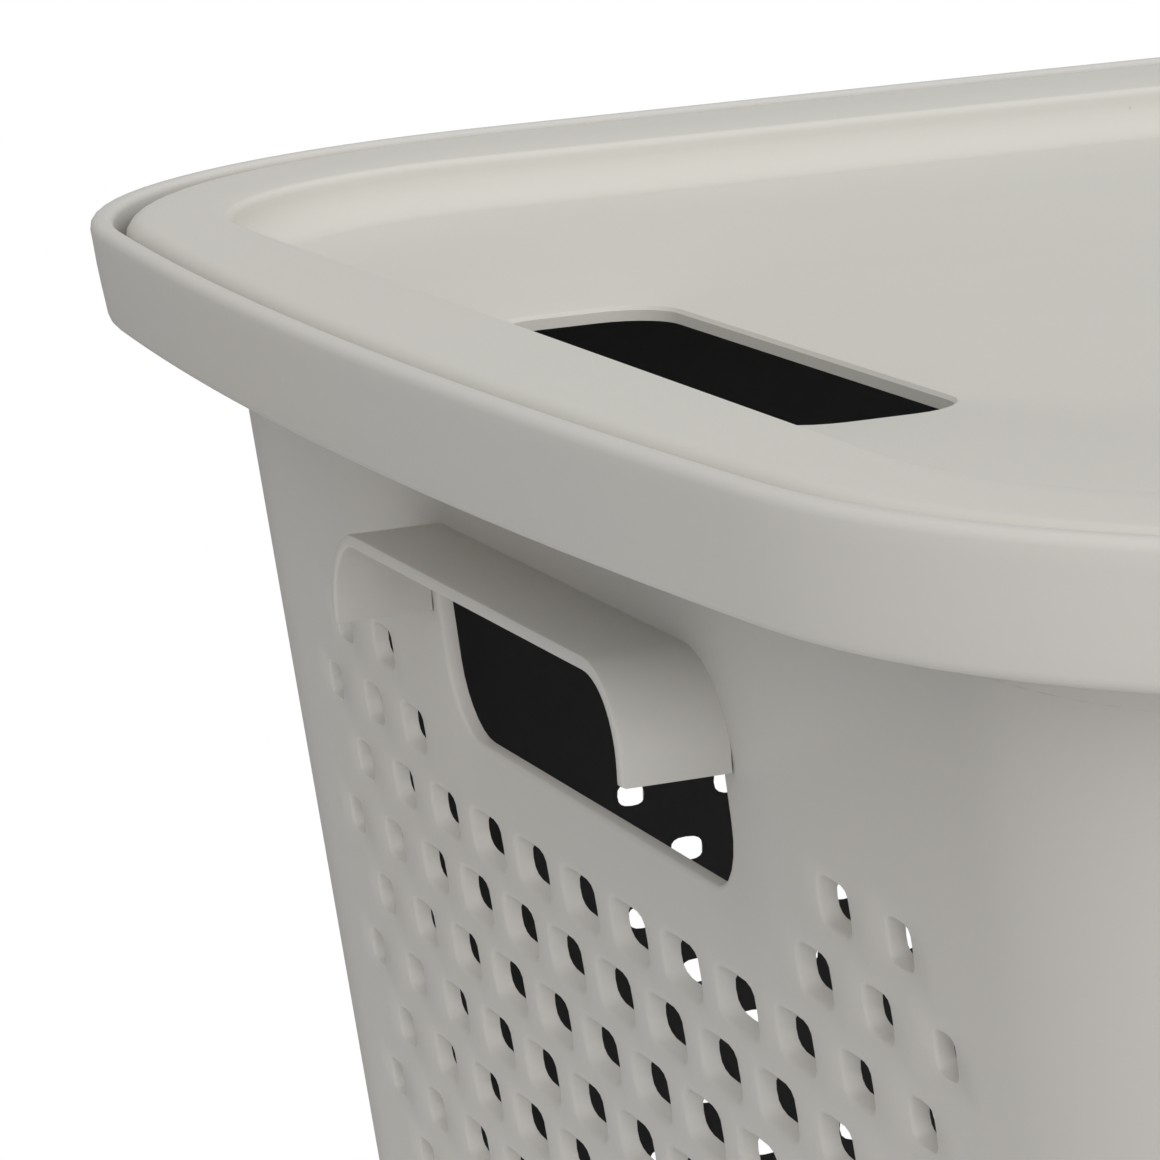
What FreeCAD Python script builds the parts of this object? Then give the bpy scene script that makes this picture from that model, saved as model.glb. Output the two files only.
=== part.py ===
import FreeCAD, Part
import math
import os

V = FreeCAD.Vector
os.makedirs("parts", exist_ok=True)

# Driving dimensions, in mm. X is the long way, the two short ends at +X and -X carry the grips.
LENGTH = 500.0          # over the rim, along X
WIDTH = 400.0           # over the rim, along Y
HEIGHT = 570.0          # feet to rim top
WALL = 2.0              # general wall thickness

# Rim: a raised lip, folded down outside into a deep band, with a seat ledge inside for the lid
BOW_SHORT = 1400.0      # radius of the gently bowed short sides
BOW_LONG = 5400.0       # radius of the gently bowed long sides
RIM_CORNER = 86.9       # corner radius of the rim, outside
BAND_HEIGHT = 14.5
BAND_TAPER = 2.75       # how far the band leans in at its lower edge
BAND_THICK = 1.8
LAND = 3.25             # width of the rim's top face
LIP_ROUND = 1.2         # rounding of both top edges
SEAT_DEPTH = 10.7       # rim top down to the seat ledge

# Body: four flat drafted walls
BODY_INSET_X = 24.7     # rim edge to the wall, projected up to the rim top
BODY_INSET_Y = 24.1
DRAFT = math.tan(math.radians(4.78))
BODY_CORNER_TOP = 54.2
BODY_CORNER_BASE = 37.0
FLOOR_UNDER = 5.0       # the wall runs on below the floor as a foot ring
FLOOR_THICK = 2.2

# Grip in each short wall: a hand opening with a moulded hood over it
HOOD_HALF = 52.8
HOOD_TOP = 32.0         # rim top down to the hood's top face
HOOD_LEGS = 45.0        # rim top down to the ends of its legs
HOOD_ROUND = 11.0
HOOD_REACH = 12.2       # out from the wall
HOOD_THICK = 1.8
HAND_HALF = 49.0
HAND_TOP = 34.0
HAND_BOTTOM = 60.8
HAND_ROUND = 9.2

# Lid: lies loose inside the rim
LID_THICK = 2.0
LID_GROOVE = 1.6        # gap to the lip, all round
LID_DROP = 0.4          # rim top down to the border
LID_EDGE_ROUND = 3.0
LID_CLEAR = 0.3         # under the edge skirt at rest
SKIRT_THICK = 2.0
CREST_X = 24.0          # rim edge to where the border ends and the slope begins
CREST_Y = 38.0
CREST_CORNER = 52.0
SLOPE_RUN = 3.0
RECESS_DROP = 8.0       # rim top down to the recessed floor
CUT_NEAR = 37.0         # rim edge to the outer edge of the hand cutout
CUT_FAR = 61.0
CUT_HALF = 50.0
CUT_ROUND = 8.0


def joined(points_and_arcs, z):
    edges = []
    for start, middle, end in points_and_arcs:
        a = V(start[0], start[1], z)
        c = V(end[0], end[1], z)
        if middle is None:
            edges.append(Part.LineSegment(a, c).toShape())
        else:
            edges.append(Part.Arc(a, V(middle[0], middle[1], z), c).toShape())
    return Part.Wire(edges)


def mirrored_round(quarter_corner, half_x, half_y, side_bulge_x, side_bulge_y, z):
    """Closes a rounded outline from its corner in the first quarter: start on the +X side, middle, end."""
    s, m, e = quarter_corner
    corners = []
    for sx, sy in ((1, 1), (-1, 1), (-1, -1), (1, -1)):
        pts = [(sx * q[0], sy * q[1]) for q in (s, m, e)]
        corners.append(pts if sx * sy > 0 else pts[::-1])
    sides = [(0, half_y), (-half_x, 0), (0, -half_y), (half_x, 0)]
    bulges = [side_bulge_y, side_bulge_x, side_bulge_y, side_bulge_x]
    chain = []
    for i in range(4):
        chain.append((corners[i][0], corners[i][1], corners[i][2]))
        after = corners[(i + 1) % 4][0]
        chain.append((corners[i][2], sides[i] if bulges[i] else None, after))
    return joined(chain, z)


def bowed(inset, z):
    """The rim's outline, moved in by inset: four bowed sides and four tangent corners."""
    hx = LENGTH / 2 - inset
    hy = WIDTH / 2 - inset
    r_short = BOW_SHORT - inset
    r_long = BOW_LONG - inset
    r = RIM_CORNER - inset
    cx, cy = hx - r_short, hy - r_long
    d1, d2 = r_short - r, r_long - r
    span = math.hypot(cx, cy)
    along = (d1 * d1 - d2 * d2 + span * span) / (2 * span)
    off = math.sqrt(d1 * d1 - along * along)
    ux, uy = -cx / span, cy / span
    px, py = cx + ux * along - uy * off, uy * along + ux * off
    if px < 0 or py < 0:
        px, py = cx + ux * along + uy * off, uy * along - ux * off
    t1 = math.atan2(py, px - cx)
    t2 = math.atan2(py - cy, px)
    start = (cx + r_short * math.cos(t1), r_short * math.sin(t1))
    end = (r_long * math.cos(t2), cy + r_long * math.sin(t2))
    tm = (t1 + t2) / 2
    middle = (px + r * math.cos(tm), py + r * math.sin(tm))
    return mirrored_round((start, middle, end), hx, hy, True, True, z)


def straight(hx, hy, r, z):
    """A rounded rectangle."""
    k = r * math.sqrt(0.5)
    corner = ((hx, hy - r), (hx - r + k, hy - r + k), (hx - r, hy))
    return mirrored_round(corner, hx, hy, False, False, z)


def body_outline(z, inset):
    drop = HEIGHT - z
    r = BODY_CORNER_TOP + (BODY_CORNER_BASE - BODY_CORNER_TOP) * drop / HEIGHT - inset
    hx = LENGTH / 2 - BODY_INSET_X - DRAFT * drop - inset
    hy = WIDTH / 2 - BODY_INSET_Y - DRAFT * drop - inset
    return straight(hx, hy, r, z)


def between(lower, upper):
    return Part.makeLoft([lower, upper], True, True)


def side_prism(profile_edges, x_from, x_to):
    face = Part.Face(Part.Wire(profile_edges))
    face.translate(V(x_from, 0, 0))
    return face.extrude(V(x_to - x_from, 0, 0))


def arch(half, top, foot, r, closed_round):
    """Profile in the YZ plane with rounded upper corners, and rounded lower ones when closed_round > 0."""
    q = closed_round
    k = r * (1 - math.sqrt(0.5))
    kq = q * (1 - math.sqrt(0.5))
    edges = [
        Part.LineSegment(V(0, -half, foot + q), V(0, -half, top - r)).toShape(),
        Part.Arc(V(0, -half, top - r), V(0, -half + k, top - k), V(0, -half + r, top)).toShape(),
        Part.LineSegment(V(0, -half + r, top), V(0, half - r, top)).toShape(),
        Part.Arc(V(0, half - r, top), V(0, half - k, top - k), V(0, half, top - r)).toShape(),
        Part.LineSegment(V(0, half, top - r), V(0, half, foot + q)).toShape(),
    ]
    if q > 0:
        edges.append(Part.Arc(V(0, half, foot + q), V(0, half - kq, foot + kq), V(0, half - q, foot)).toShape())
        edges.append(Part.LineSegment(V(0, half - q, foot), V(0, -half + q, foot)).toShape())
        edges.append(Part.Arc(V(0, -half + q, foot), V(0, -half + kq, foot + kq), V(0, -half, foot + q)).toShape())
    else:
        edges.append(Part.LineSegment(V(0, half, foot), V(0, -half, foot)).toShape())
    return edges


def top_edges(shape, z):
    return [e for e in shape.Edges if abs(e.BoundBox.ZMin - z) < 1e-4 and abs(e.BoundBox.ZMax - z) < 1e-4]


# Tub: rim lip, band and ledge
seat_z = HEIGHT - SEAT_DEPTH
ledge_z = seat_z - WALL
band_z = HEIGHT - BAND_HEIGHT
taper_at_ledge = BAND_TAPER * (HEIGHT - ledge_z) / BAND_HEIGHT
rim = between(bowed(BAND_TAPER, band_z), bowed(0, HEIGHT))
rim = rim.cut(between(bowed(LAND, seat_z), bowed(LAND, HEIGHT + WALL)))
rim = rim.cut(between(bowed(BAND_TAPER + BAND_THICK, band_z), bowed(taper_at_ledge + BAND_THICK, ledge_z)))
rim = rim.makeFillet(LIP_ROUND, top_edges(rim, HEIGHT))

# Tub: body shell, floor and foot ring
body = between(body_outline(0, 0), body_outline(ledge_z + WALL / 2, 0))
tub = rim.fuse(body)
floor_top = FLOOR_UNDER + FLOOR_THICK
tub = tub.cut(between(body_outline(floor_top, WALL), body_outline(HEIGHT + WALL, WALL)))
tub = tub.cut(between(body_outline(-WALL, WALL), body_outline(FLOOR_UNDER, WALL)))

# Tub: hand opening and hood at each short end
hood_top_z = HEIGHT - HOOD_TOP
hood_foot_z = HEIGHT - HOOD_LEGS
wall_mid = LENGTH / 2 - BODY_INSET_X - DRAFT * (HOOD_TOP + HOOD_LEGS) / 2
for side in (-1, 1):
    hand = arch(HAND_HALF, HEIGHT - HAND_TOP, HEIGHT - HAND_BOTTOM, HAND_ROUND, HAND_ROUND)
    tub = tub.cut(side_prism(hand, side * (wall_mid - HOOD_REACH), side * (wall_mid + HOOD_REACH)))
for side in (-1, 1):
    x_root = side * (wall_mid - WALL / 2)
    x_front = side * (wall_mid + HOOD_REACH)
    outer = arch(HOOD_HALF, hood_top_z, hood_foot_z, HOOD_ROUND, 0)
    inner = arch(HOOD_HALF - HOOD_THICK, hood_top_z - HOOD_THICK, hood_foot_z - WALL, HOOD_ROUND - HOOD_THICK, 0)
    tub = tub.fuse(side_prism(outer, x_root, x_front).cut(side_prism(inner, x_root, x_front)))
tub = tub.removeSplitter()
tub.exportStep("parts/tub.step")

# Lid: border plate and edge skirt, rounded over at the top
border_z = HEIGHT - LID_DROP
edge_inset = LAND + LID_GROOVE
skirt_z = seat_z + LID_CLEAR
lid = between(bowed(edge_inset, skirt_z), bowed(edge_inset, border_z))
lid = lid.makeFillet(LID_EDGE_ROUND, top_edges(lid, border_z))
under_z = border_z - LID_THICK
skirt_in = edge_inset + SKIRT_THICK
lid = lid.cut(between(bowed(skirt_in, skirt_z - WALL), bowed(skirt_in, under_z)))

# Lid: recessed tray with a sloping edge
floor_z = HEIGHT - RECESS_DROP
hx = LENGTH / 2 - CREST_X
hy = WIDTH / 2 - CREST_Y
steep = (border_z - floor_z) / SLOPE_RUN
shift = LID_THICK * math.hypot(1, steep) / steep
under_floor_z = floor_z - LID_THICK
tray_top_z = border_z - LID_THICK / 2
gone_top = (border_z - tray_top_z) / steep - shift
gone_base = (border_z - under_floor_z) / steep - shift
tray = between(
    straight(hx - gone_base, hy - gone_base, CREST_CORNER - gone_base, under_floor_z),
    straight(hx - gone_top, hy - gone_top, CREST_CORNER - gone_top, tray_top_z),
)
recess = between(
    straight(hx - SLOPE_RUN, hy - SLOPE_RUN, CREST_CORNER - SLOPE_RUN, floor_z),
    straight(hx + SLOPE_RUN, hy + SLOPE_RUN, CREST_CORNER + SLOPE_RUN, border_z + SLOPE_RUN * steep),
)
lid = lid.fuse(tray).cut(recess)

# Lid: hand cutout near each short end
for side in (-1, 1):
    mid = side * (LENGTH / 2 - (CUT_NEAR + CUT_FAR) / 2)
    outline = straight((CUT_FAR - CUT_NEAR) / 2, CUT_HALF, CUT_ROUND, under_floor_z - WALL)
    outline.translate(V(mid, 0, 0))
    lid = lid.cut(Part.Face(outline).extrude(V(0, 0, 2 * LID_THICK + WALL)))
lid = lid.removeSplitter()
lid.exportStep("parts/lid.step")

for name, shape in (("tub", tub), ("lid", lid)):
    box = shape.BoundBox
    print(name, "solids", len(shape.Solids), "valid", shape.isValid(), "cm3", round(shape.Volume / 1000, 1), box)
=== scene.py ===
import math
import bpy
import bmesh
import numpy as np
from mathutils import Matrix, Vector


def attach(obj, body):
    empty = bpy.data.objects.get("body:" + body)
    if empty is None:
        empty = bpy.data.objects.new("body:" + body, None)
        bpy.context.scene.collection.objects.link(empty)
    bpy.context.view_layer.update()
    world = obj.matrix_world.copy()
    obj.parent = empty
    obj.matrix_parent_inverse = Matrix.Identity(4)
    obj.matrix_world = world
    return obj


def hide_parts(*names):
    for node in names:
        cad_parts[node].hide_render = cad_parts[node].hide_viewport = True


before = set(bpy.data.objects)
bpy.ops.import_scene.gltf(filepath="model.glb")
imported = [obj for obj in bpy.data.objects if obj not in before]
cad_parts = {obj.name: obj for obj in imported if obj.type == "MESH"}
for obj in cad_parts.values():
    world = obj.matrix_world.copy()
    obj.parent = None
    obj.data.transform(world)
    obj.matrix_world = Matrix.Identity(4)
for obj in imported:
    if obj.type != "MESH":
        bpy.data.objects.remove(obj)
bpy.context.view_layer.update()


# ---------------------------------------------------------------------------
# Plastic of the tub and the lid: satin moulded polypropylene, a warm light grey, with faint
# mottling from the flow of the melt, a fine spark-eroded grain and soft, slightly duller corners.
# ---------------------------------------------------------------------------
class Val:
    """A scalar in the shader, with ordinary arithmetic."""

    def __init__(self, sheet, socket):
        self.sheet = sheet
        self.socket = socket

    def _math(self, operation, other):
        return self.sheet.math(operation, self, other)

    def __add__(self, other):
        return self._math("ADD", other)

    def __radd__(self, other):
        return self._math("ADD", other)

    def __mul__(self, other):
        return self._math("MULTIPLY", other)

    def __sub__(self, other):
        return self._math("SUBTRACT", other)

    def __rsub__(self, other):
        return self.sheet.math("SUBTRACT", other, self)

    def band(self, start, end):
        """0 below start, 1 above end, smooth between."""
        return self.sheet.node(
            "ShaderNodeMapRange",
            {"interpolation_type": "SMOOTHSTEP"},
            Value=self, From_Min=start, From_Max=end,
        )


class Sheet:
    """One material's node tree."""

    def __init__(self, name):
        self.material = bpy.data.materials.new(name)
        self.material.use_nodes = True
        self.tree = self.material.node_tree
        self.shader = self.tree.nodes["Principled BSDF"]

    def node(self, kind, settings=None, output=0, **inputs):
        made = self.tree.nodes.new(kind)
        for key, value in (settings or {}).items():
            setattr(made, key, value)
        for key, value in inputs.items():
            self.feed(made.inputs[key.replace("_", " ")], value)
        return Val(self, made.outputs[output])

    def feed(self, socket, value):
        if isinstance(value, Val):
            self.tree.links.new(value.socket, socket)
        else:
            socket.default_value = value

    def math(self, operation, *values):
        made = self.tree.nodes.new("ShaderNodeMath")
        made.operation = operation
        for socket, value in zip(made.inputs, values):
            self.feed(socket, value)
        return Val(self, made.outputs[0])

    def blend(self, kind, amount, first, second):
        made = self.tree.nodes.new("ShaderNodeMix")
        made.data_type = "RGBA"
        made.blend_type = kind
        for socket, value in ((made.inputs[0], amount), (made.inputs[6], first), (made.inputs[7], second)):
            self.feed(socket, value)
        return Val(self, made.outputs[2])


grain_height = 0.00006  # depth of the spark-eroded grain


def moulded_plastic(name, colour, cool):
    sheet = Sheet(name)
    place = sheet.node("ShaderNodeTexCoord", output=3)
    cloud = sheet.node("ShaderNodeTexNoise", {"noise_dimensions": "3D"}, Vector=place, Scale=9.0, Detail=3.0)
    streak_place = sheet.node("ShaderNodeMapping", Vector=place, Scale=(26.0, 26.0, 5.0))
    streak = sheet.node("ShaderNodeTexNoise", Vector=streak_place, Scale=1.0, Detail=2.0, Roughness=0.4)
    grain = sheet.node("ShaderNodeTexNoise", Vector=place, Scale=1900.0, Detail=2.0)
    speck = sheet.node("ShaderNodeTexVoronoi", Vector=place, Scale=46.0)
    dust = 1.0 - speck.band(0.006, 0.018)
    tint = sheet.blend("MIX", cloud.band(0.35, 0.68) * 0.7, colour, cool)
    tint = sheet.blend("MULTIPLY", streak.band(0.45, 0.75) * 0.06, tint, (0.80, 0.79, 0.78, 1.0))
    tint = sheet.blend("MULTIPLY", dust * 0.30, tint, (0.45, 0.42, 0.38, 1.0))
    sheet.feed(sheet.shader.inputs["Base Color"], tint)
    rough = 0.43 + (cloud - 0.5) * 0.08 + (grain - 0.5) * 0.10 + streak.band(0.45, 0.75) * 0.03
    sheet.feed(sheet.shader.inputs["Roughness"], rough)
    soft = sheet.node("ShaderNodeBump", Strength=0.10, Distance=0.0006, Height=cloud)
    fine = sheet.node("ShaderNodeBump", Strength=0.16, Distance=grain_height, Height=grain, Normal=soft)
    sheet.feed(sheet.shader.inputs["Normal"], fine)
    sheet.shader.inputs["IOR"].default_value = 1.49
    sheet.shader.inputs["Specular IOR Level"].default_value = 0.42
    sheet.shader.inputs["Subsurface Weight"].default_value = 0.04
    sheet.shader.inputs["Subsurface Radius"].default_value = (0.004, 0.003, 0.002)
    return sheet.material


tub_plastic = moulded_plastic("tub_plastic", (0.505, 0.487, 0.455, 1.0), (0.485, 0.475, 0.450, 1.0))
# inner faces of the walls: a near-black copy of the plastic, painted shade for the dark interior; the real
# inside is the same pale plastic
painted_shade_inside = moulded_plastic("painted_shade_inside", (0.050, 0.048, 0.048, 1.0), (0.046, 0.045, 0.045, 1.0))
lid_plastic = moulded_plastic("lid_plastic", (0.525, 0.508, 0.465, 1.0), (0.508, 0.500, 0.458, 1.0))


# ---------------------------------------------------------------------------
# Tub rim: a raised lip round the top, folded down outside into a deep band, with the seat ledge
# for the lid inside it and the top of the walls below. Part of the tub's one moulding.
# ---------------------------------------------------------------------------
top = 0.570             # feet to rim top
half_length = 0.250     # over the rim
half_width = 0.200
arc_steps = 20
side_steps = 24


def bowed_outline(inset):
    """Points round the rim, moved in by inset, anticlockwise from the middle of the +X side."""
    hx, hy = half_length - inset, half_width - inset
    r_short, r_long, r = 1.400 - inset, 5.400 - inset, 0.0869 - inset
    cx, cy = hx - r_short, hy - r_long
    d1, d2 = r_short - r, r_long - r
    span = math.hypot(cx, cy)
    along = (d1 * d1 - d2 * d2 + span * span) / (2 * span)
    off = math.sqrt(d1 * d1 - along * along)
    ux, uy = -cx / span, cy / span
    px, py = cx + ux * along - uy * off, uy * along + ux * off
    if px < 0 or py < 0:
        px, py = cx + ux * along + uy * off, uy * along - ux * off
    t1 = math.atan2(py, px - cx)
    t2 = math.atan2(py - cy, px)
    quarter = []
    for t in np.linspace(0, t1, side_steps // 2, endpoint=False):
        quarter.append((cx + r_short * math.cos(t), r_short * math.sin(t)))
    for t in np.linspace(t1, t2, arc_steps, endpoint=False):
        quarter.append((px + r * math.cos(t), py + r * math.sin(t)))
    for t in np.linspace(t2, math.pi / 2, side_steps // 2 + 1):
        quarter.append((r_long * math.cos(t), cy + r_long * math.sin(t)))
    return four_quarters(quarter)


def straight_outline(hx, hy, r):
    """Points round a rounded rectangle, with the same count and start as the bowed outline."""
    quarter = [(hx, y) for y in np.linspace(0, hy - r, side_steps // 2, endpoint=False)]
    for t in np.linspace(0, math.pi / 2, arc_steps, endpoint=False):
        quarter.append((hx - r + r * math.cos(t), hy - r + r * math.sin(t)))
    quarter += [(x, hy) for x in np.linspace(hx - r, 0, side_steps // 2 + 1)]
    return four_quarters(quarter)


def four_quarters(quarter):
    back = [(-x, y) for x, y in quarter[-2::-1]]
    half = quarter + back
    return np.array(half + [(-x, -y) for x, y in half[1:-1]])


def body_half(z, inset=0.0):
    """Half sizes and corner radius of the drafted body at height z."""
    drop = top - z
    lean = math.tan(math.radians(4.78)) * drop
    return 0.2253 - lean - inset, 0.1759 - lean - inset, 0.0542 - 0.0172 * drop / top - inset


def strip_faces(base, count, bands):
    """Quads between loops of count points each, laid one after another from the point base."""
    faces = []
    for k in range(bands):
        a = base + k * count
        b = a + count
        for i in range(count):
            j = (i + 1) % count
            faces.append((a + i, a + j, b + j, b + i))
    return faces


def placed(name, data):
    made = bpy.data.objects.new(name, data)
    bpy.context.scene.collection.objects.link(made)
    return made


def ring_mesh(name, rings, closed_loop, material, smooth_angle=40):
    """A closed strip: rings of equal count, each an outline at a height, joined in order."""
    count = len(rings[0][0])
    last = (len(rings) - 1) * count
    points = [(x, y, z) for outline, z in rings for x, y in outline]
    faces = strip_faces(0, count, len(rings) - 1)
    if closed_loop:
        faces += [(last + i, last + (i + 1) % count, (i + 1) % count, i) for i in range(count)]
    else:
        faces.append(tuple(range(count))[::-1])
        faces.append(tuple(last + i for i in range(count)))
    return finished(name, points, faces, material, smooth_angle)


def finished(name, points, faces, material, smooth_angle=40, depths=None):
    mesh = bpy.data.meshes.new(name)
    mesh.from_pydata([tuple(p) for p in points], [], faces)
    if depths is not None:
        mesh.attributes.new("depth", "FLOAT", "POINT").data.foreach_set("value", depths)
    work = bmesh.new()
    work.from_mesh(mesh)
    bmesh.ops.remove_doubles(work, verts=work.verts, dist=1e-6)
    bmesh.ops.recalc_face_normals(work, faces=work.faces)
    work.to_mesh(mesh)
    work.free()
    mesh.materials.append(material)
    made = placed(name, mesh)
    shade(made, smooth_angle)
    return made


def shade(made, smooth_angle):
    mesh = made.data
    mesh.polygons.foreach_set("use_smooth", [True] * len(mesh.polygons))
    mesh.set_sharp_from_angle(angle=math.radians(smooth_angle))


band_height = 0.0145
band_taper = 0.00275
band_thick = 0.0018
land = 0.00325
lip_round = 0.0012
seat_depth = 0.0107
wall = 0.002
wall_top = 0.02025      # rim top down to where the perforated panels begin


def arc(inset_centre, drop_centre, radius, start, end, steps=5):
    """Section points (inset, drop) on an arc; 0 degrees points inwards, 90 degrees points up."""
    out = []
    for t in np.linspace(math.radians(start), math.radians(end), steps):
        out.append((inset_centre + radius * math.cos(t), drop_centre - radius * math.sin(t)))
    return out


def on_rim(section):
    return [(bowed_outline(inset), top - drop) for inset, drop in section]


def on_body(section):
    rings = []
    for inset, drop in section:
        hx, hy, r = body_half(top - drop, inset)
        rings.append((straight_outline(hx, hy, r), top - drop))
    return rings


rim_section = on_rim(
    [(land, seat_depth), (land, seat_depth - 0.001)]
    + arc(land - lip_round, lip_round, lip_round, 0, 90)
    + arc(lip_round, lip_round, lip_round, 90, 180)
    + [(0.0002, 0.003), (0.0005, 0.006), (0.0009, 0.009), (0.0012, 0.011)]
    + arc(0.0031, band_height - 0.0016, 0.0016, 189, 270, 7)
    + [(band_taper + band_thick, band_height - 0.0003)]
    + [(0.0038, seat_depth + wall + 0.0008), (0.0046, seat_depth + wall)]
)
ledge_under = seat_depth + wall
skirt_root = on_body([
    (-0.0045, ledge_under), (-0.0024, ledge_under + 0.0006), (-0.0010, ledge_under + 0.0018),
    (-0.0002, ledge_under + 0.0036), (0.0, ledge_under + 0.0052),
])
wall_head = on_body([
    (0.0, wall_top), (wall, wall_top), (wall, seat_depth + 0.0006), (wall - 0.0006, seat_depth),
])
rim_rings = rim_section + skirt_root + wall_head
rim = ring_mesh("tub_rim", rim_rings, True, tub_plastic, 35)
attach(rim, "tub")
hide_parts("tub")


# ---------------------------------------------------------------------------
# Tub walls: four drafted panels pierced by staggered rows of rounded slots that get smaller
# towards the panel's ends. The short ones also have the hand opening. Same moulding as the rim.
# ---------------------------------------------------------------------------
pitch = 0.01719         # between slots in one row; every other row is shifted by half of it
row = 0.0098            # between rows
first_row = 0.07415     # rim top down to the first full row
row_count = 47
rows_above = 5          # plain rows between the rim and the first full row
pierced_above = 2       # of those, the rows that are pierced as well
hand_patch = 3.5        # half width, in pitches, of the plain patch round the hand opening
hood_clear = 4.4        # the highest pierced row stops this many pitches from the middle
corner_allow = 0.003    # how far a slot's centre may run into the rounded corner
panel_smooth = 48       # degrees
corner_points = 17
slot_wide, slot_tall = 0.0117, 0.0066
slot_steps = 16
hand_half = 0.049
hand_high, hand_low = 0.034, 0.0608
hand_round = 0.0092


def rounded_slot(wide, tall, grow=0.0, power=0.5):
    """Sixteen points round a slot, matched to its cell's sixteen; a higher power is rounder."""
    out = []
    for t in np.linspace(0, 2 * math.pi, slot_steps, endpoint=False):
        c, s = math.cos(t), math.sin(t)
        x = math.copysign(abs(c) ** power, c) * (wide / 2 + grow)
        z = math.copysign(abs(s) ** power, s) * (tall / 2 + grow)
        out.append((x, z))
    return out


def cell_edge():
    """Sixteen points round one cell, on the quarter marks so that shifted rows meet."""
    hx, hz = pitch / 2, row / 2
    marks = [(1, 0), (1, 0.5), (1, 1), (0.5, 1), (0, 1), (-0.5, 1), (-1, 1), (-1, 0.5)]
    marks += [(-x, -z) for x, z in marks]
    return [(x * hx, z * hz) for x, z in marks]


def slot_cell():
    """One pierced cell, lying in XZ with its thickness along +Y; every band is sixteen quads."""
    bands = [
        (cell_edge(), 0.0, 0.0),
        (rounded_slot(slot_wide, slot_tall, 0.0008), 0.0, 1.0),
        (rounded_slot(slot_wide, slot_tall, 0.0003), 0.00010, 1.0),
        (rounded_slot(slot_wide, slot_tall), 0.00050, 1.0),
        (rounded_slot(slot_wide, slot_tall, -0.0008, 0.72), wall, 1.0),
        (cell_edge(), wall, 0.0),
    ]
    points, share = [], []
    for outline, depth, moves in bands:
        points += [(x, depth, z) for x, z in outline]
        share += [moves] * slot_steps
    faces = []
    for k in range(len(bands) - 1):
        for i in range(slot_steps):
            j = (i + 1) % slot_steps
            a, b = k * slot_steps, (k + 1) * slot_steps
            faces.append((a + i, b + i, b + j, a + j))
    mesh = bpy.data.meshes.new("slot_cell")
    mesh.from_pydata(points, [], faces)
    for name, values in (
        ("share", share),
        ("off_x", [p[0] for p in points]),
        ("off_z", [p[2] for p in points]),
    ):
        mesh.attributes.new(name, "FLOAT", "POINT").data.foreach_set("value", values)
    return placed("slot_cell", mesh)


def slot_pattern():
    """Geometry Nodes: a cell on every point, its slot shrunk by the point's distance from the end."""
    tree = bpy.data.node_groups.new("slot_pattern", "GeometryNodeTree")
    ids = {}
    for label, kind, preset in (
        ("Geometry", "NodeSocketGeometry", None),
        ("Cell", "NodeSocketObject", None),
        ("Plastic", "NodeSocketMaterial", None),
        ("End width", "NodeSocketFloat", 0.36),
        ("Width gain", "NodeSocketFloat", 0.17),
        ("End height", "NodeSocketFloat", 0.66),
        ("Height gain", "NodeSocketFloat", 0.09),
    ):
        socket = tree.interface.new_socket(label, in_out="INPUT", socket_type=kind)
        if preset is not None:
            socket.default_value = preset
        ids[label] = socket.identifier
    tree.interface.new_socket("Geometry", in_out="OUTPUT", socket_type="NodeSocketGeometry")
    come = tree.nodes.new("NodeGroupInput")
    go = tree.nodes.new("NodeGroupOutput")

    def add(kind, settings=None, **wires):
        made = tree.nodes.new(kind)
        for key, value in (settings or {}).items():
            setattr(made, key, value)
        for key, value in wires.items():
            target = made.inputs[int(key[1:])] if key[0] == "i" and key[1:].isdigit() else made.inputs[key]
            if isinstance(value, bpy.types.NodeSocket):
                tree.links.new(value, target)
            else:
                target.default_value = value
        return made

    def named(label):
        return add("GeometryNodeInputNamedAttribute", {"data_type": "FLOAT"}, Name=label).outputs[0]

    def calc(operation, *values):
        wires = {"i%d" % k: v for k, v in enumerate(values)}
        return add("ShaderNodeMath", {"operation": operation}, **wires).outputs[0]

    cell = add("GeometryNodeObjectInfo", Object=come.outputs["Cell"]).outputs["Geometry"]
    laid = add("GeometryNodeInstanceOnPoints", Points=come.outputs["Geometry"], Instance=cell).outputs[0]
    whole = add("GeometryNodeRealizeInstances", Geometry=laid).outputs[0]
    from_end = named("from_end")
    moves = []
    for base, gain, off in (("End width", "Width gain", "off_x"), ("End height", "Height gain", "off_z")):
        size = calc("MULTIPLY_ADD", from_end, come.outputs[gain], come.outputs[base])
        less = calc("SUBTRACT", calc("MINIMUM", size, 1.0), 1.0)
        moves.append(calc("MULTIPLY", calc("MULTIPLY", less, named(off)), named("share")))
    shift = add("ShaderNodeCombineXYZ", X=moves[0], Z=moves[1]).outputs[0]
    shrunk = add("GeometryNodeSetPosition", Geometry=whole, Offset=shift).outputs[0]
    painted = add("GeometryNodeSetMaterial", Geometry=shrunk, Material=come.outputs["Plastic"]).outputs[0]
    tree.links.new(painted, go.inputs[0])
    return tree, ids


def flat_half(z, long_side):
    hx, hy, r = body_half(z)
    return (hx if long_side else hy) - r


def onto_wall(u, z, depth, side):
    """From a flat panel (u along it, height z, depth in from its face) onto the drafted body."""
    long_side = side in ("front", "back")
    hx, hy, r = body_half(z)
    across, away = (hx, hy) if long_side else (hy, hx)
    flat = across - r
    past = np.maximum(np.abs(u) - flat, 0.0)
    turn = np.minimum(past / r, math.pi / 4)
    along = np.sign(u) * (np.minimum(np.abs(u), flat) + (r - depth) * np.sin(turn))
    out = away - r + (r - depth) * np.cos(turn)
    if side == "front":
        return along, -out, z
    if side == "back":
        return -along, out, z
    if side == "left":
        return -out, -along, z
    return out, along, z


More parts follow.
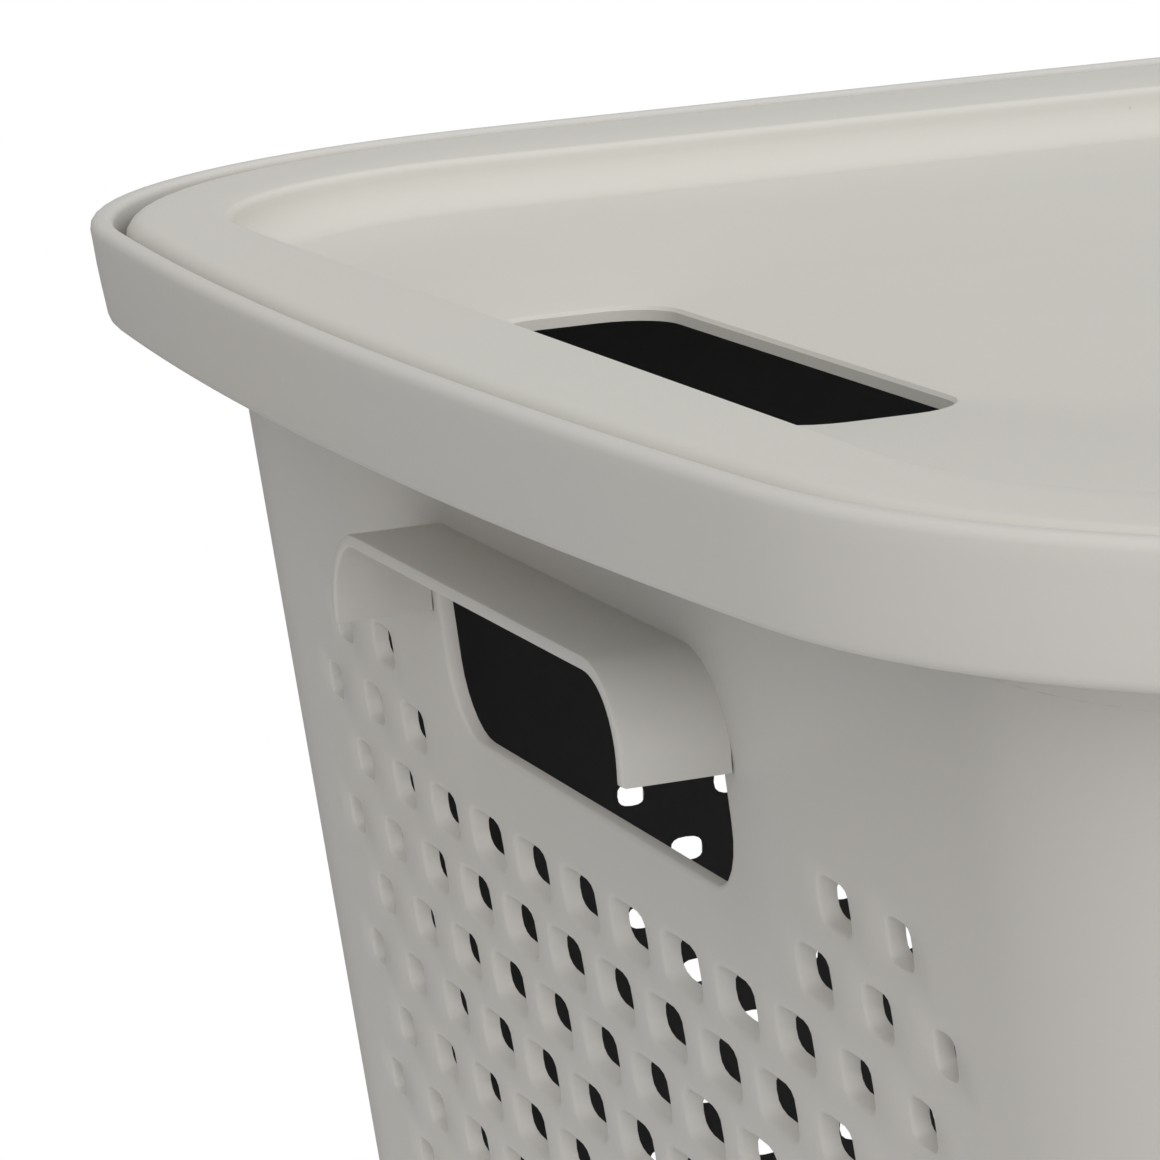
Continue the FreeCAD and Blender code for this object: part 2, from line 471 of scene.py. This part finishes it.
def holed_plate(outer, holes):
    """Triangles that fill outer and leave the holes open, over the points of all the outlines."""
    from mathutils.geometry import delaunay_2d_cdt
    points, edges = [], []
    for loop in [outer] + holes:
        base = len(points)
        points += [Vector(p) for p in loop]
        edges += [(base + i, base + (i + 1) % len(loop)) for i in range(len(loop))]
    co, _, tris, _, _, _ = delaunay_2d_cdt(points, edges, [], 0, 1e-7)

    def inside(p, loop):
        hit = False
        for i in range(len(loop)):
            (x1, y1), (x2, y2) = loop[i - 1], loop[i]
            if (y1 > p[1]) != (y2 > p[1]) and p[0] < (x2 - x1) * (p[1] - y1) / (y2 - y1) + x1:
                hit = not hit
        return hit

    kept = []
    for tri in tris:
        mid = [(co[tri[0]][k] + co[tri[1]][k] + co[tri[2]][k]) / 3 for k in (0, 1)]
        if inside(mid, outer) and not any(inside(mid, h) for h in holes):
            kept.append(tuple(tri))
    return [(c[0], c[1]) for c in co], kept


def rounded_rect(half_x, low_y, high_y, r, grow=0.0, steps=8):
    hx, lo, hi, r = half_x + grow, low_y - grow, high_y + grow, r + grow
    out = []
    centres = ((hx - r, hi - r, 0), (-hx + r, hi - r, 90), (-hx + r, lo + r, 180), (hx - r, lo + r, 270))
    for cx, cy, start in centres:
        for t in np.linspace(math.radians(start), math.radians(start + 90), steps):
            out.append((cx + r * math.cos(t), cy + r * math.sin(t)))
    return out


cell_object = slot_cell()
pattern_tree, pattern_ids = slot_pattern()


def grid_faces(base, rows, columns, flip):
    """Quads over points laid row by row from the point base; flip turns them over."""
    faces = []
    for a in range(rows - 1):
        for b in range(columns - 1):
            f = base + a * columns + b
            quad = (f, f + 1, f + columns + 1, f + columns)
            faces.append(quad[::-1] if flip else quad)
    return faces


def panel_layout(long_side, columns):
    """Centres of the pierced cells, and start, width and drop of the plain ones, in pitches."""
    places = []
    plain = []
    for j in range(-rows_above, row_count):
        drop = first_row + row * j
        shifted = j % 2 == 0
        centres = np.arange(-columns + (1.0 if shifted else 0.5), columns, 1.0)
        if shifted:
            plain += [(-columns, 0.5, drop), (columns - 0.5, 0.5, drop)]
        for c in centres:
            if not long_side and abs(c) < hand_patch + 0.1 and j < 0:
                continue
            in_flat = abs(c) * pitch <= flat_half(top - drop, long_side) + corner_allow
            by_hood = not long_side and j == -pierced_above and abs(c) < hood_clear
            if j >= -pierced_above and in_flat and not by_hood:
                places.append((c, drop))
            else:
                plain.append((c - 0.5, 1.0, drop))
    if not long_side:
        above = first_row - row / 2
        plain = [q for q in plain if q[2] >= above or abs(q[0] + q[1] / 2) >= hand_patch]
        for j in range(-rows_above, 0):
            if j % 2 == 0:
                drop = first_row + row * j
                plain += [(-hand_patch - 0.5, 0.5, drop), (hand_patch, 0.5, drop)]
    return places, plain


def pierced_cells(places, columns):
    """Points (u, height, depth) and faces of the pierced cells, laid out flat by the slot pattern."""
    guide = bpy.data.meshes.new("slot_places")
    guide.from_pydata([(c * pitch, 0, top - drop) for c, drop in places], [], [])
    from_end = [
        min(columns - abs(c), 2.0 + (row_count - 1) - (drop - first_row) / row) for c, drop in places
    ]
    guide.attributes.new("from_end", "FLOAT", "POINT").data.foreach_set("value", from_end)
    holder = placed("slot_places", guide)
    modifier = holder.modifiers.new("slots", "NODES")
    modifier.node_group = pattern_tree
    modifier[pattern_ids["Cell"]] = cell_object
    modifier[pattern_ids["Plastic"]] = tub_plastic
    bpy.context.view_layer.update()
    flat = bpy.data.meshes.new_from_object(holder.evaluated_get(bpy.context.evaluated_depsgraph_get()))
    co = np.empty(len(flat.vertices) * 3)
    flat.vertices.foreach_get("co", co)
    co = co.reshape(-1, 3)
    faces = [tuple(p.vertices) for p in flat.polygons]
    bpy.data.objects.remove(holder)
    return [(p[0], p[2], p[1]) for p in co], faces


def add_hand_opening(sheet_points, faces):
    """The plain patch round the hand opening, with the opening's softened edge."""
    low_z, hu = top - first_row + row / 2, hand_patch * pitch
    marks = list(np.arange(-hand_patch, hand_patch + 0.01, 0.25) * pitch)
    levels = [low_z + row * k / 4 for k in range(4 * rows_above + 1)]
    frame_loop = [(hu, z) for z in levels] + [(u, levels[-1]) for u in marks[-2:0:-1]]
    frame_loop += [(-hu, z) for z in levels[::-1]] + [(u, levels[0]) for u in marks[1:-1]]
    steps = [(0.0008, 0.0), (0.0003, 0.0001), (0.0, 0.0005), (0.0, wall)]
    rings = [rounded_rect(hand_half, top - hand_low, top - hand_high, hand_round, g) for g, _ in steps]
    for ring, depth, flip in ((rings[0], 0.0, False), (rings[3], wall, True)):
        pts, tris = holed_plate(frame_loop, [ring])
        base = len(sheet_points)
        sheet_points.extend((u, z, depth) for u, z in pts)
        faces.extend(tuple(base + i for i in (t[::-1] if flip else t)) for t in tris)
    for k in range(3):
        base = len(sheet_points)
        sheet_points.extend((u, z, steps[k][1]) for u, z in rings[k])
        sheet_points.extend((u, z, steps[k + 1][1]) for u, z in rings[k + 1])
        faces.extend(strip_faces(base, len(rings[k]), 1))


def wall_panel(side):
    long_side = side in ("front", "back")
    columns = 9.5 if long_side else 6.5     # half the panel's width, in pitches
    places, plain = panel_layout(long_side, columns)
    sheet_points, faces = pierced_cells(places, columns)

    def plain_patch(us, zs):
        for depth, flip in ((0.0, False), (wall, True)):
            base = len(sheet_points)
            for z in zs:
                sheet_points.extend((u, z, depth) for u in us)
            faces.extend(grid_faces(base, len(zs), len(us), flip))

    for start, width, drop in plain:
        us = np.arange(0, width + 0.01, 0.25) * pitch + start * pitch
        plain_patch(us, [top - drop + row * k / 4 for k in range(-2, 3)])

    # plain foot strip below the slots, and the plain corners on both ends
    edge = columns * pitch
    last = top - (first_row + row * (row_count - 0.5))
    foot_levels = list(np.linspace(0.0, last, 5))
    plain_patch(np.arange(-columns, columns + 0.01, 0.25) * pitch, foot_levels)
    row_levels = [last + row * k / 4 for k in range(1, 4 * (row_count + rows_above) + 1)]
    heights = [z for z in sorted(foot_levels + row_levels) if z <= top - wall_top + 1e-6]
    for sign in (-1, 1):
        for depth, flip in ((0.0, sign < 0), (wall, sign > 0)):
            base = len(sheet_points)
            for z in heights:
                end = flat_half(z, long_side) + body_half(z)[2] * math.pi / 4
                share = np.linspace(0, 1, corner_points)
                sheet_points.extend((sign * (edge + (end - edge) * t), z, depth) for t in share)
            faces.extend(grid_faces(base, len(heights), corner_points, flip))
    if not long_side:
        add_hand_opening(sheet_points, faces)

    q = np.array(sheet_points)
    x, y, z = onto_wall(q[:, 0], q[:, 1], q[:, 2], side)
    made = finished("tub_wall_" + side, np.c_[x, y, z], faces, tub_plastic, panel_smooth, q[:, 2])
    # close the panel's open border between its outer and inner faces
    work = bmesh.new()
    work.from_mesh(made.data)
    open_edges = [e for e in work.edges if e.is_boundary]
    bmesh.ops.bridge_loops(work, edges=open_edges)
    bmesh.ops.recalc_face_normals(work, faces=work.faces)
    work.to_mesh(made.data)
    work.free()
    # the inner faces get the near-black painted shade material instead of the pale plastic they really are
    made.data.materials.append(painted_shade_inside)
    depth = made.data.attributes["depth"].data
    for face in made.data.polygons:
        if all(depth[v].value > wall - 0.0001 for v in face.vertices):
            face.material_index = 1
    shade(made, panel_smooth)
    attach(made, "tub")
    return made


for name in ("front", "back", "left", "right"):
    wall_panel(name)
bpy.data.objects.remove(cell_object)


# ---------------------------------------------------------------------------
# Tub grips: over each hand opening a moulded hood, an upturned channel with rounded shoulders and
# short legs, standing out from the wall. Same moulding as the tub.
# ---------------------------------------------------------------------------
hood_half, hood_top, hood_legs = 0.0528, 0.0320, 0.0450
hood_round, hood_reach, hood_thick = 0.0110, 0.0122, 0.0018
wall_at_hood = body_half(top - hood_top)[0]


def hood_path(grow):
    """Points over the hood from one leg's end to the other's, moved out by grow."""
    half, high, r = hood_half + grow, top - hood_top + grow, hood_round + grow
    foot = top - hood_legs - grow
    quarter = np.linspace(0, math.pi / 2, 15)
    points = [(half, z) for z in np.linspace(foot, high - r, 3)[:-1]]
    points += [(half - r + r * math.cos(t), high - r + r * math.sin(t)) for t in quarter]
    points += [(y, high) for y in np.linspace(half - r, -half + r, 13)[1:-1]]
    points += [(-half + r - r * math.sin(t), high - r + r * math.cos(t)) for t in quarter]
    points += [(-half, z) for z in np.linspace(high - r, foot, 3)[1:]]
    return points


def hood(side):
    loop_of = []
    root = wall_at_hood - 0.0008
    face = wall_at_hood + hood_reach
    for x, tuck in ((root, 0.0), (face - 0.0005, 0.0), (face - 0.00015, 0.00015), (face, 0.0005)):
        outer = hood_path(-tuck)
        inner = hood_path(-hood_thick + tuck)
        inner[0] = (inner[0][0], outer[0][1])
        inner[-1] = (inner[-1][0], outer[-1][1])
        loop_of.append((x, outer + inner[::-1]))
    count = len(loop_of[0][1])
    points = [(side * x, y, z) for x, loop in loop_of for y, z in loop]
    bands = len(loop_of) - 1
    faces = strip_faces(0, count, bands)
    half = count // 2
    for base in (0, bands * count):
        for i in range(half - 1):
            f = (base + i, base + i + 1, base + count - 2 - i, base + count - 1 - i)
            faces.append(f if base else f[::-1])
    made = finished("tub_hood_" + ("right" if side > 0 else "left"), points, faces, tub_plastic, 40)
    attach(made, "tub")


hood(-1)
hood(1)


# ---------------------------------------------------------------------------
# Tub floor: a flat plate set a little way up inside the walls, which run on below it as a foot ring.
# ---------------------------------------------------------------------------
floor_under, floor_thick = 0.005, 0.0022


def floor_ring(height, inset):
    hx, hy, r = body_half(height, inset)
    return straight_outline(hx, hy, r), height


floor_plate = ring_mesh(
    "tub_floor",
    [
        floor_ring(floor_under, 0.0010),
        floor_ring(floor_under + floor_thick, 0.0010),
    ],
    False, tub_plastic, 40,
)
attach(floor_plate, "tub")


# ---------------------------------------------------------------------------
# Lid: a loose moulding that lies inside the rim with a narrow groove all round. Rounded edge with
# a short skirt, flat border, soft slope down to a shallow floor, hand cutout near each short end.
# ---------------------------------------------------------------------------
lid_thick = 0.0020
border_drop = 0.0004
edge_inset = 0.00485
edge_round = 0.0030
skirt_end = 0.0104
skirt_thick = 0.002
crest_x, crest_y, crest_corner = 0.0240, 0.0380, 0.0520
slope_run = 0.003
slope_sweep = 0.0058     # the slope starts steep at the crest and sweeps out flat onto the floor
crest_round = 0.0012
recess_drop = 0.008
cut_near, cut_far, cut_half, cut_round = 0.037, 0.061, 0.050, 0.008


def on_tray(section):
    """Rings that follow the recess: distance in from its crest, and drop below the rim top."""
    rings = []
    for inner, drop in section:
        hx, hy = half_length - crest_x - inner, half_width - crest_y - inner
        rings.append((straight_outline(hx, hy, crest_corner - inner), top - drop))
    return rings


fall = recess_drop - border_drop
slope = []
for t in np.linspace(0, math.pi / 2, 5):
    slope.append((crest_round * (math.sin(t) - 1), border_drop + crest_round * (1 - math.cos(t))))
for t in np.linspace(0, math.pi / 2, 13)[1:]:
    drop = border_drop + crest_round + (fall - crest_round) * math.sin(t)
    slope.append((slope_sweep * (1 - math.cos(t)), drop))
outer_edge = arc(edge_inset + edge_round, border_drop + edge_round, edge_round, 90, 180, 8)
lid_rings = on_tray(slope[::-1])
lid_rings += on_rim([(0.0165, border_drop), (edge_inset + edge_round + 0.003, border_drop)] + outer_edge)
lid_rings += on_rim([(edge_inset, skirt_end), (edge_inset + skirt_thick, skirt_end)])
lid_rings += on_rim([(edge_inset + skirt_thick, border_drop + lid_thick)])
lid_rings += on_tray([
    (-lid_thick, border_drop + lid_thick), (slope_run - lid_thick, recess_drop + lid_thick),
])
lid_points = [(x, y, z) for outline, z in lid_rings for x, y in outline]
lid_faces = strip_faces(0, len(lid_rings[0][0]), len(lid_rings) - 1)
cut_steps = [(0.0009, 0.0), (0.00035, 0.00012), (0.0, 0.0006), (0.0, lid_thick)]
cut_mid = half_length - (cut_near + cut_far) / 2
cut_reach = (cut_far - cut_near) / 2


def cut_loop(side, grow):
    loop = rounded_rect(cut_half, -cut_reach, cut_reach, cut_round, grow)
    return [(side * (cut_mid + b), a) for a, b in loop]


for ring, step, flip in ((0, 0, True), (-1, 3, False)):
    outline, z = lid_rings[ring]
    tris_points, tris = holed_plate(
        [tuple(p) for p in outline], [cut_loop(-1, cut_steps[step][0]), cut_loop(1, cut_steps[step][0])]
    )
    base = len(lid_points)
    lid_points += [(x, y, z) for x, y in tris_points]
    lid_faces += [tuple(base + i for i in (t[::-1] if flip else t)) for t in tris]
for side in (-1, 1):
    for k in range(3):
        base = len(lid_points)
        one, two = cut_loop(side, cut_steps[k][0]), cut_loop(side, cut_steps[k + 1][0])
        lid_points += [(x, y, top - recess_drop - cut_steps[k][1]) for x, y in one]
        lid_points += [(x, y, top - recess_drop - cut_steps[k + 1][1]) for x, y in two]
        lid_faces += strip_faces(base, len(one), 1)
lid = finished("lid_moulding", lid_points, lid_faces, lid_plastic, 35)
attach(lid, "lid")
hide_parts("lid")


# ---------------------------------------------------------------------------
# Studio: a pale floor, white surroundings that light a little more from the front and from above,
# and one large soft lamp in front.
# ---------------------------------------------------------------------------
floor_half = 1.25
floor_corners = [(-1, -1), (1, -1), (1, 1), (-1, 1)]
floor_mesh = bpy.data.meshes.new("studio_floor")
floor_mesh.from_pydata([(x * floor_half, y * floor_half, 0) for x, y in floor_corners], [], [(0, 1, 2, 3)])
studio = placed("studio_floor", floor_mesh)
floor_paint = bpy.data.materials.new("studio_floor")
floor_paint.use_nodes = True
floor_shader = floor_paint.node_tree.nodes["Principled BSDF"]
floor_shader.inputs["Base Color"].default_value = (0.60, 0.60, 0.60, 1.0)
floor_shader.inputs["Roughness"].default_value = 0.7
floor_mesh.materials.append(floor_paint)

world = bpy.data.worlds.new("studio_white")
world.use_nodes = True
nodes, wires = world.node_tree.nodes, world.node_tree.links
surround = nodes["Background"]
surround.inputs["Color"].default_value = (1.0, 1.0, 1.0, 1.0)
aim = nodes.new("ShaderNodeTexCoord")
facing = nodes.new("ShaderNodeVectorMath")
facing.operation = "DOT_PRODUCT"
facing.inputs[1].default_value = (0.10, -0.60, 0.35)
glow = nodes.new("ShaderNodeMath")
glow.operation = "ADD"
glow.inputs[1].default_value = 0.82
seen = nodes.new("ShaderNodeLightPath")
level = nodes.new("ShaderNodeMapRange")
level.inputs["To Max"].default_value = 1.0
wires.new(aim.outputs["Generated"], facing.inputs[0])
wires.new(facing.outputs["Value"], glow.inputs[0])
wires.new(glow.outputs[0], level.inputs["To Min"])
wires.new(seen.outputs["Is Camera Ray"], level.inputs["Value"])
wires.new(level.outputs["Result"], surround.inputs["Strength"])
bpy.context.scene.world = world
bpy.context.scene.view_settings.view_transform = "Standard"

lamp_data = bpy.data.lights.new("lamp_front", "AREA")
lamp_data.shape = "DISK"
lamp_data.size = 1.6
lamp_data.energy = 8.0
lamp = placed("lamp_front", lamp_data)
lamp.location = (-0.5, -2.2, 1.5)
lamp_target = Vector((0.0, 0.0, 0.45))
lamp.rotation_euler = (lamp_target - lamp.location).to_track_quat("-Z", "Y").to_euler()

camera_data = bpy.data.cameras.new("camera")
camera_data.sensor_width = 36.0
camera_data.lens = 153.58
camera_data.clip_start = 0.02
camera = placed("camera", camera_data)
forward = Vector((0.327109, 0.923759, -0.199171))
upward = Vector((0.125414, 0.166464, 0.978039))
sideways = forward.cross(upward).normalized()
turn = Matrix((sideways, upward, -forward)).transposed()
camera.matrix_world = Matrix.Translation((-0.41280, -0.54606, top + 0.08516)) @ turn.to_4x4()
bpy.context.scene.camera = camera
